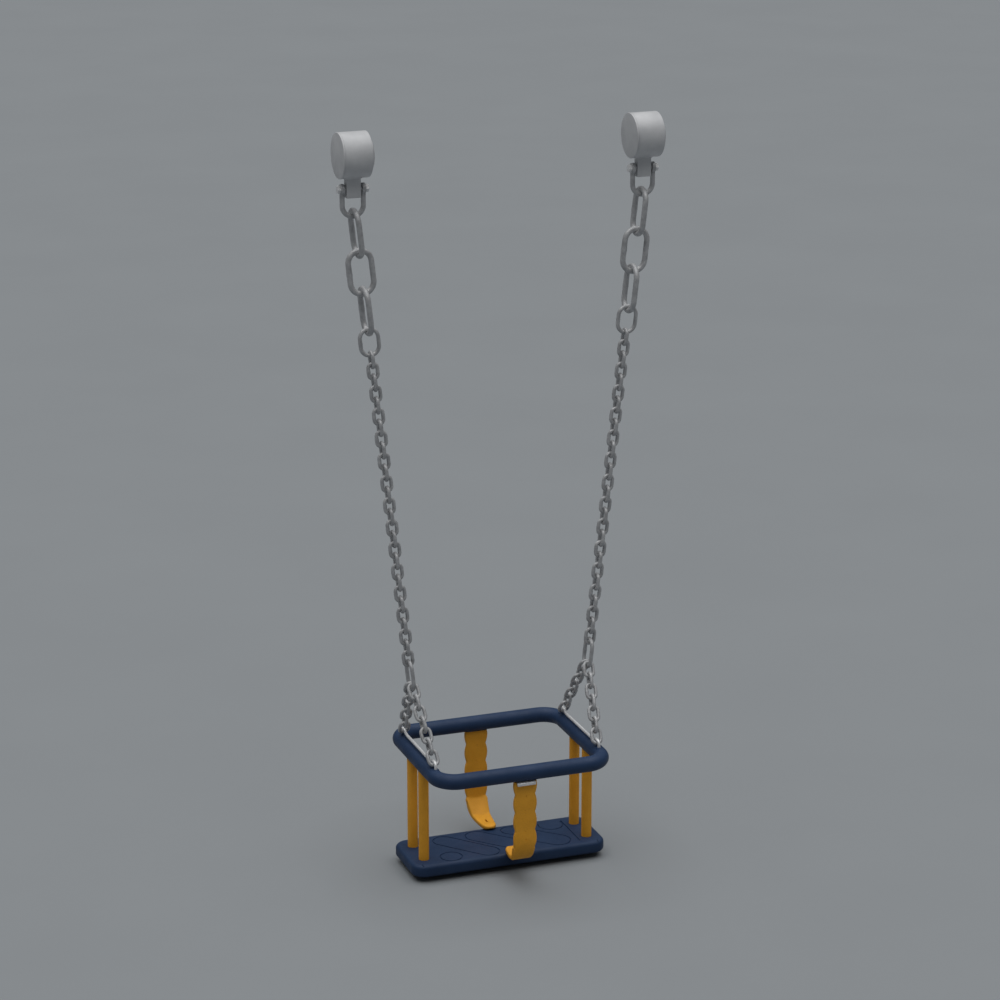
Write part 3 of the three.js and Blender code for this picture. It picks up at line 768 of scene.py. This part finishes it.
def shackle(side):
    """Forged bow with two flat eyes, its bolt and its nut."""
    pin = Vector(joints[f"{side}_shackle_swing"]["pos_m"])
    low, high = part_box(f"{side}_shackle")
    body = f"{side}_shackle_set"
    eye = high.z - pin.z
    centre_z = low.z + SHACKLE_WIRE + SHACKLE_HALF
    top_z = pin.z - eye + 0.004
    centre = Vector((pin.x, 0, centre_z))
    legs = [Z_AXIS * (top_z - centre_z) * (1 - i / 5) for i in range(5)]
    points = [centre - X_AXIS * SHACKLE_HALF + rise for rise in legs]
    points += arc(centre, X_AXIS * SHACKLE_HALF, Z_AXIS * SHACKLE_HALF, 180, 360, 24)
    points += [centre + X_AXIS * SHACKLE_HALF + rise for rise in reversed(legs)]
    bow = mesh_object(f"{side}_shackle_bow", *loft(sweep(points, SHACKLE_WIRE, Y_AXIS, 24)))
    eyes, holes = [], []
    for sx in (-1, 1):
        place = Vector((pin.x + sx * SHACKLE_HALF, 0, pin.z))
        outline = [(-EYE_HALF, 0.0), (-EYE_HALF, eye - EYE_EDGE), (-EYE_HALF + EYE_EDGE, eye)]
        outline += [(EYE_HALF - EYE_EDGE, eye), (EYE_HALF, eye - EYE_EDGE), (EYE_HALF, 0.0)]
        eyes.append(turned_x("eye", outline, place, 48))
        reach = X_AXIS * 0.008
        holes.append(rod_between("eye_hole", place - reach, place + reach, PIN_HOLE))
    boolean(bow, eyes, "UNION", 32)
    boolean(bow, holes, sharp_degrees=32)
    dress(bow, "galvanised_steel", body, f"{side}_shackle")

    bolt_low, bolt_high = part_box(f"{side}_shackle_bolt")
    nut_low, nut_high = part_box(f"{side}_shackle_nut")
    head_inner = pin.x - (nut_low.x - pin.x)
    head = hexagon_head(f"{side}_shackle_bolt_and_head", head_inner, bolt_low.x, pin.z)
    shank = threaded_shank(Vector((head_inner - 0.001, 0, pin.z)), bolt_high.x)
    boolean(head, [shank], "UNION", 30)
    dress(head, "bright_steel", body, f"{side}_shackle_bolt")
    nut = hexagon_head(f"{side}_shackle_hex_nut", nut_low.x, nut_high.x, pin.z)
    centre = middle(f"{side}_shackle_nut")
    reach = X_AXIS * 0.01
    boolean(nut, [rod_between("nut_bore", centre - reach, centre + reach, NUT_BORE)], sharp_degrees=25)
    dress(nut, "bright_steel", body, f"{side}_shackle_nut")


def threaded_shank(start, end_x):
    """A plain shank along X whose end carries thread rings and a chamfer."""
    length = end_x - start.x
    first = length - THREAD_LENGTH
    outline = [(0.0, 0.0), (0.0, BOLT_RADIUS), (first, BOLT_RADIUS)]
    for i in range(int(THREAD_RUN / THREAD_PITCH)):
        outline.append((first + THREAD_PITCH * (i + 0.5), BOLT_RADIUS - THREAD_DEPTH))
        outline.append((first + THREAD_PITCH * (i + 1), BOLT_RADIUS))
    outline += [(length - 0.0006, BOLT_RADIUS - 0.0004), (length, BOLT_RADIUS - 0.0012), (length, 0.0)]
    return turned_x("shank", outline, start, 40)


# ---------------------------------------------------------------- cradle seat
def rounded_rectangle(half_x, half_y, corner, z, per_corner, per_side=1):
    """Points round a rectangle with round corners, per_side steps along each straight side."""
    points = []
    places = [(1, 1), (-1, 1), (-1, -1), (1, -1)]
    for i, (sx, sy) in enumerate(places):
        centre = Vector((sx * (half_x - corner), sy * (half_y - corner), z))
        points += arc(centre, X_AXIS * corner, Y_AXIS * corner, 90 * i, 90 * i + 90, per_corner)
        nx, ny = places[(i + 1) % 4]
        last = points[-1]
        following = Vector((nx * (half_x - corner), ny * (half_y - corner), z))
        start = math.radians(90 * (i + 1))
        following += Vector((math.cos(start), math.sin(start), 0)) * corner
        for k in range(1, per_side):
            points.append(last.lerp(following, k / per_side))
    return points


def hoop():
    """Rubber tube round the seat's top, with a lip where each staple leg goes in."""
    low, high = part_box("hoop_cover")
    radius = (high.z - low.z) / 2
    z = (low.z + high.z) / 2
    path = rounded_rectangle(high.x - radius, high.y - radius, HOOP_CORNER, z, 18, 12)
    rings = sweep(path, radius - HOOP_SKIN, Z_AXIS, 48, closed=True)
    cover = mesh_object("hoop_rubber_tube", *loft(rings, closed=True), sharp_degrees=60)
    lip = [(-0.006, 0.0), (-0.006, 0.0075), (-0.0004, 0.0068), (0.0006, 0.0058), (0.0009, 0.0)]
    lips, holes = [], []
    for name, sx, sy in CORNERS:
        leg = staple_leg(sx, sy)
        leg.z = z + radius
        lips.append(turned_z("lip", lip, leg, 40))
        holes.append(rod_between("leg_hole", leg - Z_AXIS * radius, leg + Z_AXIS * 0.01, LEG_HOLE))
        post_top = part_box(f"{name}_post_sleeve")[1].z
        foot, end, bore = socket(name, low.z - 0.01, post_top + SOCKET_GAP)
        holes.append(rod_between("post_bore", foot, end, bore, 48))
    boolean(cover, lips, "UNION", 50)
    boolean(cover, holes, sharp_degrees=50)
    dress(cover, "navy_rubber", "cradle_seat", "hoop_cover")


def socket(name, low_z, high_z):
    """Axis ends and radius of the hole that a post's end sits in."""
    low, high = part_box(f"{name}_post_sleeve")
    post = (low + high) / 2
    radius = (high.y - low.y) / 2 + SOCKET_GAP
    return Vector((post.x, post.y, low_z)), Vector((post.x, post.y, high_z)), radius


def staple_leg(sx, sy):
    """Foot of a staple's leg in the given corner."""
    low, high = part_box("left_staple")
    radius = (high.x - low.x) / 2
    return Vector((sx * abs(low.x + high.x) / 2, sy * (high.y - radius), low.z))


def staple(side, sx):
    """Bright rod on the hoop's end: humped over each corner chain, its ends bent down into it."""
    low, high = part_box(f"{side}_staple")
    radius = (high.x - low.x) / 2
    x = (low.x + high.x) / 2
    top = high.z - radius
    leg_y = high.y - radius
    rail = top - STAPLE_DIP
    knots = [(leg_y, low.z), (leg_y, top - 0.014), (leg_y - 0.0012, top - 0.0045)]
    knots += [(leg_y - 0.0062, top - 0.0004), (HUMP_Y + 0.002, top), (HUMP_Y - 0.006, top - 0.0008)]
    knots += [(HUMP_Y - 0.013, rail + 0.002), (HUMP_Y - 0.022, rail), (0.05, rail)]
    half = [Vector((x, y, z)) for y, z in knots]
    mirrored = [Vector((x, -p.y, p.z)) for p in reversed(half)]
    path = smooth_path(half + mirrored, 6)
    rod = mesh_object(f"{side}_staple_rod", *loft(sweep(path, radius * STAPLE_FIT, X_AXIS, 20)))
    dress(rod, "bright_steel", "cradle_seat", f"{side}_staple")


def smooth_path(knots, steps):
    """Points of a smooth curve through the knots, its tangents scaled to each span."""
    points = []
    for i in range(len(knots) - 1):
        before = knots[max(i - 1, 0)]
        a, b = knots[i], knots[i + 1]
        after = knots[min(i + 2, len(knots) - 1)]
        span = (b - a).length
        start = (b - before) / max((b - before).length, 1e-9) * span
        finish = (after - a) / max((after - a).length, 1e-9) * span
        for k in range(steps):
            t = k / steps
            points.append(
                a * (2 * t**3 - 3 * t**2 + 1)
                + start * (t**3 - 2 * t**2 + t)
                + b * (3 * t**2 - 2 * t**3)
                + finish * (t**3 - t**2)
            )
    points.append(knots[-1])
    return points


def groove(name, path, closed, half_width=GROOVE_HALF):
    """A round-bottomed cutter along a path on the plank's top."""
    rings = []
    count = len(path)
    for i, point in enumerate(path):
        before = path[i - 1] if closed or i else point
        after = path[(i + 1) % count] if closed or i < count - 1 else point
        across = (after - before).normalized().cross(Z_AXIS)
        ring = []
        for k in range(8):
            angle = 2 * math.pi * (k + 0.5) / 8
            offset = across * math.cos(angle) * half_width + Z_AXIS * math.sin(angle) * GROOVE_DEPTH
            ring.append(point + offset)
        rings.append(ring)
    return mesh_object(name, *loft(rings, closed=closed))


def stadium(start, end, radius, z, steps=20):
    """Closed path round two points at a distance of radius."""
    start = Vector((*start, z))
    end = Vector((*end, z))
    along = (end - start).normalized() * radius
    across = Vector((-along.y, along.x, 0))
    path = arc(end, along, across, -90, 90, steps)
    path += arc(start, along, across, 90, 270, steps)
    return path


def edge_profile(z, radius, sign):
    """(height, inset) steps round the plank's edge: sign is -1 at the bottom and 1 at the top."""
    profile = []
    for i in range(7):
        angle = math.radians(15 * i)
        inset = radius * (1 - math.cos(angle))
        profile.append((z - sign * radius * (1 - math.sin(angle)), inset))
    return profile[::sign]


def plank():
    """Moulded seat plank: rounded slab, relief grooves on top and recesses for the posts."""
    low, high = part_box("seat_rubber")
    profile = edge_profile(low.z, PLANK_ROUND_LOW, -1) + edge_profile(high.z, PLANK_ROUND_TOP, 1)
    rings = []
    for z, inset in profile:
        rings.append(rounded_rectangle(high.x - inset, high.y - inset, PLANK_CORNER - inset, z, 12))
    slab = mesh_object("plank_moulding", *loft(rings), sharp_degrees=50)
    z = high.z + GROOVE_LIFT
    cutters = [groove("groove", stadium(start, end, radius, z), True) for start, end, radius in RELIEF]
    bay = arc(Vector((*BAY_CENTRE, z)), X_AXIS * BAY_RADIUS, Y_AXIS * BAY_RADIUS, 160, 380, 24)
    cutters.append(groove("groove", bay, False))
    rail = [Vector((RAIL_X, y / 1000, z)) for y in range(-60, 61, 20)]
    cutters.append(groove("groove", rail, False))
    for sx in (-1, 1):
        notch = [Vector((sx * NOTCH_X, y, z + drop)) for y, drop in NOTCH]
        cutters.append(groove("notch", notch, False, NOTCH_HALF))
    for name, sx, sy in CORNERS:
        post_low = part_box(f"{name}_post_sleeve")[0].z
        foot, end, radius = socket(name, post_low - SOCKET_GAP, high.z + 0.01)
        cutters.append(rod_between("socket", foot, end, radius, 48))
        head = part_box(f"{name}_tie_bolt")[0].z + BOLT_HEAD
        foot, end, radius = socket(name, low.z - 0.01, head)
        cutters.append(rod_between("recess", foot, end, BOLT_RECESS, 40))
    boolean(slab, cutters, sharp_degrees=50)
    dress(slab, "navy_rubber", "cradle_seat", "seat_rubber")


def post(name):
    """Rubber-covered post with a moulding seam down each side."""
    low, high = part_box(f"{name}_post_sleeve")
    radius = (high.y - low.y) / 2
    centre = (low + high) / 2
    height = high.z - low.z
    rings = []
    sides = 48
    for z in (0.0, *POST_STATIONS, height - 0.0006, height):
        edge = POST_EDGE if z in (0.0, height) else 0.0
        ring = []
        for k in range(sides):
            angle = 2 * math.pi * k / sides
            seam = POST_SEAM if k % (sides // 2) == 0 else 0.0
            out = Vector((math.cos(angle), math.sin(angle), 0)) * (radius - POST_SEAM + seam - edge)
            ring.append(Vector((centre.x + out.x, centre.y + out.y, low.z + z)))
        rings.append(ring)
    sleeve = mesh_object(f"{name}_post_cover", *loft(rings), sharp_degrees=50)
    reach = Z_AXIS * (height / 2 + 0.01)
    boolean(sleeve, [rod_between("bore", centre - reach, centre + reach, TIE_BORE, 24)], sharp_degrees=50)
    dress(sleeve, "yellow_rubber", "cradle_seat", f"{name}_post_sleeve")


# ---------------------------------------------------------------- straps and brackets
def strap_path(sy, y, top, plank_top):
    """Centre line of a strap: straight down, then a curl towards the middle, lower at the rear."""
    knots = [(0, top - plank_top), (0, 0.150), (0, 0.100)]
    if sy < 0:
        knots += [(0, 0.062), (0.003, 0.044), (0.012, 0.0265), (0.028, 0.0145)]
        knots += [(0.050, 0.0098), (0.072, 0.0098), (0.0905, 0.0122)]
    else:
        knots += [(0, 0.054), (0.003, 0.036), (0.013, 0.0195), (0.031, 0.0108)]
        knots += [(0.056, 0.0074), (0.080, 0.0066), (0.1000, 0.0072)]
    return smooth_path([Vector((0, sy * (y - inward), plank_top + z)) for inward, z in knots], 14)


def strap(end, sy):
    """Scalloped rubber strap with a tongue, attached to no body."""
    low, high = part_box(f"{end}_strap")
    plank_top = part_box("seat_rubber")[1].z
    y = max(abs(low.y), abs(high.y)) - STRAP_INSET
    path = strap_path(sy, y, high.z + STRAP_RISE, plank_top)
    lengths = [-STRAP_RISE]
    for a, b in zip(path, path[1:]):
        lengths.append(lengths[-1] + (b - a).length)
    total = lengths[-1]
    rings = []
    for i, point in enumerate(path):
        tangent = (path[min(i + 1, len(path) - 1)] - path[max(i - 1, 0)]).normalized()
        inward = tangent.cross(X_AXIS) * sy
        inward = inward if inward.y * sy < 0 or inward.z > 0 else -inward
        rings.append(strap_section(point, inward, lengths[i], total, TONGUE_START[end]))
    piece = mesh_object(f"{end}_strap_rubber", *loft(rings), sharp_degrees=55)
    cut_strap(piece, path, lengths, sy)
    dress(piece, "yellow_rubber", None, f"{end}_strap")
    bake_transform(piece)


def strap_section(point, inward, s, total, tongue):
    """One rounded section of the strap, s metres down its length."""
    phase = ((s + SCALLOP_START) / SCALLOP_PITCH) % 1.0
    half = STRAP_WIDTH / 2 - SCALLOP_DEPTH * (2 * phase - 1) ** 2
    thick = STRAP_THICK / 2 + STRAP_PAD * min(1.0, max(0.0, (0.016 - s) / 0.006))
    if s > tongue:
        narrow = TONGUE_HALF - TONGUE_TAPER * ((s - tongue) / (total - tongue)) ** 1.5
        half = narrow if s > tongue + 0.006 else min(half, narrow + 0.0007)
        thick += STRAP_PAD * min(1.0, (s - tongue) / 0.03)
    left = total - s
    if left < TIP_LENGTH:
        close = math.sqrt(max(0.0, 1 - (1 - left / TIP_LENGTH) ** 2))
        half *= 0.35 + 0.65 * close
        thick *= 0.25 + 0.75 * close
    corner = min(STRAP_CORNER, thick * 0.8)
    ring = []
    for i, (sx, st) in enumerate(((1, 1), (-1, 1), (-1, -1), (1, -1))):
        for k in range(5):
            angle = math.radians(90 * i + 22.5 * k)
            across = sx * (half - corner) + corner * math.cos(angle)
            depth = st * (thick - corner) + corner * math.sin(angle)
            if st > 0:
                depth += web_fill(s, tongue, abs(across) / half)
            ring.append(point + X_AXIS * across + inward * depth)
        if i == 0:
            for k in (1, 2, 3):
                across = (half - corner) * (1 - k / 2)
                depth = thick + web_fill(s, tongue, abs(across) / half)
                ring.append(point + X_AXIS * across + inward * depth)
    return ring


def web_fill(s, tongue, share):
    """Extra thickness on the inner face, where the tongue's root fills the bend behind a V crease."""
    t = min(1.0, max(0.0, (s - tongue + WEB_CREASE * share) / WEB_LENGTH))
    return WEB_RISE * 4 * t * (1 - t)


def cut_strap(piece, path, lengths, sy):
    """Small pits down the middle, a slot near the tip and room for the bracket and its screws."""
    tools = []

    def place(s):
        """Point, tangent and outward normal of the strap s metres down."""
        i = next(k for k, length in enumerate(lengths) if length >= s)
        tangent = (path[i + 1] - path[i - 1]).normalized()
        normal = tangent.cross(X_AXIS)
        return path[i], tangent, normal if normal.y * sy > 0 else -normal

    for pits, start, end in ((THROUGH_PITS, -0.006, 0.006), (OUTER_PITS, 0.002, 0.008)):
        for s, across, radius in pits:
            point, tangent, outward = place(s)
            point = point + X_AXIS * across
            tools.append(rod_between("pit", point + outward * start, point + outward * end, radius, 16))
    point, tangent, outward = place(lengths[-1] - SLOT_FROM_TIP)
    outline = stadium((-SLOT_HALF, 0), (SLOT_HALF, 0), SLOT_RADIUS, 0, 8)
    rings = []
    for depth in (-0.009, 0.009):
        rings.append([point + tangent * p.x + X_AXIS * p.y + outward * depth for p in outline])
    tools.append(mesh_object("slot", *loft(rings)))
    top = path[0].z
    seat = top - STRAP_RISE
    for sx in (-1, 1):
        screw = Vector((sx * BRACKET_SCREW_X, path[0].y, seat))
        low = screw - Z_AXIS * POCKET_DEPTH
        tools.append(rod_between("pocket", low, screw + Z_AXIS * 0.01, SCREW_POCKET, 24))
    inner = abs(path[0].y) - BRACKET_REACH - 0.0002
    slot = [(sy * inner, seat), (sy * (inner + 0.03), seat)]
    slot += [(sy * (inner + 0.03), top + 0.01), (sy * inner, top + 0.01)]
    tools.append(prism_x("flange_slot", slot, -FLANGE_SLOT, FLANGE_SLOT))
    boolean(piece, tools, sharp_degrees=45)


def bracket(end, sy):
    """Folded angle: a flange under the hoop and a lip down the strap's outer face."""
    low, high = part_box(f"{end}_strap_bracket")
    outer = max(abs(low.y), abs(high.y))
    screw_y = abs(middle(f"{end}_bracket_screw_left").y)
    inner = screw_y - BRACKET_REACH
    back = outer - BRACKET_PLATE
    lip = high.z - BRACKET_LIP
    section = [(outer, lip)]
    for k in range(7):
        angle = math.radians(15 * k)
        y = outer - BRACKET_BEND * (1 - math.cos(angle))
        section.append((y, high.z - BRACKET_BEND * (1 - math.sin(angle))))
    section += [(inner, high.z), (inner, high.z - BRACKET_SHEET), (back, high.z - BRACKET_SHEET)]
    section.append((back, lip))
    plate = prism_x(f"{end}_bracket_plate", [(sy * y, z) for y, z in section], low.x, high.x)
    rounded(plate, 0.0005, 2, 50)
    holes = []
    for sx in (-1, 1):
        place = Vector((sx * BRACKET_SCREW_X, sy * screw_y, high.z))
        holes.append(rod_between("hole", place - Z_AXIS * 0.01, place + Z_AXIS * 0.01, BRACKET_HOLE, 24))
    boolean(plate, holes, sharp_degrees=35)
    dress(plate, "bright_steel", "cradle_seat", f"{end}_strap_bracket")


# ---------------------------------------------------------------- the whole swing
for side, sx in SIDES:
    hanger(side)
    hanger_axle(side)
    shackle(side)
    chain_line(side, sx)
    corner_chains(side, sx)
    staple(side, sx)
hoop()
plank()
for name, sx, sy in CORNERS:
    post(name)
for end, sy in ENDS:
    strap(end, sy)
    bracket(end, sy)

# The CAD nodes that stay in sight get their finishes too.
for subpart in frame["record"]["subparts"]:
    node = frame["nodes"][subpart["node"]]
    node.data.materials.clear()
    node.data.materials.append(FINISHES[subpart["material_slot"]])


# ---------------------------------------------------------------- stage, light and camera
def studio():
    """Wide floor just below the plank, under a dim sky."""
    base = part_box("seat_rubber")[0].z - FLOOR_GAP
    corners = []
    for sx, sy in ((-1, -1), (1, -1), (1, 1), (-1, 1)):
        corners.append(Vector((sx * FLOOR_REACH, sy * FLOOR_REACH, base)))
    floor = mesh_object("studio_floor", corners, [(0, 1, 2, 3)])
    floor.data.materials.append(floor_paper())
    world = bpy.data.worlds.new("studio_world")
    world.use_nodes = True
    background = world.node_tree.nodes["Background"]
    background.inputs["Color"].default_value = (0.95, 0.97, 1.0, 1.0)
    background.inputs["Strength"].default_value = 0.1
    scene.world = world


def ceiling():
    """A wide, even light from straight above, as from a lit ceiling."""
    data = bpy.data.lights.new("ceiling", "SUN")
    data.angle = math.radians(84)
    data.energy = 2.75
    lamp = bpy.data.objects.new("ceiling", data)
    lamp.location = Z_AXIS * 4
    scene.collection.objects.link(lamp)


def camera():
    """Looks down on the seat from the front left."""
    data = bpy.data.cameras.new("camera")
    data.lens = 117.018
    data.sensor_width = 36
    data.clip_end = 100
    holder = bpy.data.objects.new("camera", data)
    holder.location = (-2.2788, -6.2646, 1.2914)
    holder.rotation_euler = (math.radians(72.7965), 0, math.radians(-19.991))
    scene.collection.objects.link(holder)
    scene.camera = holder


studio()
ceiling()
camera()
scene.view_settings.view_transform = "Standard"
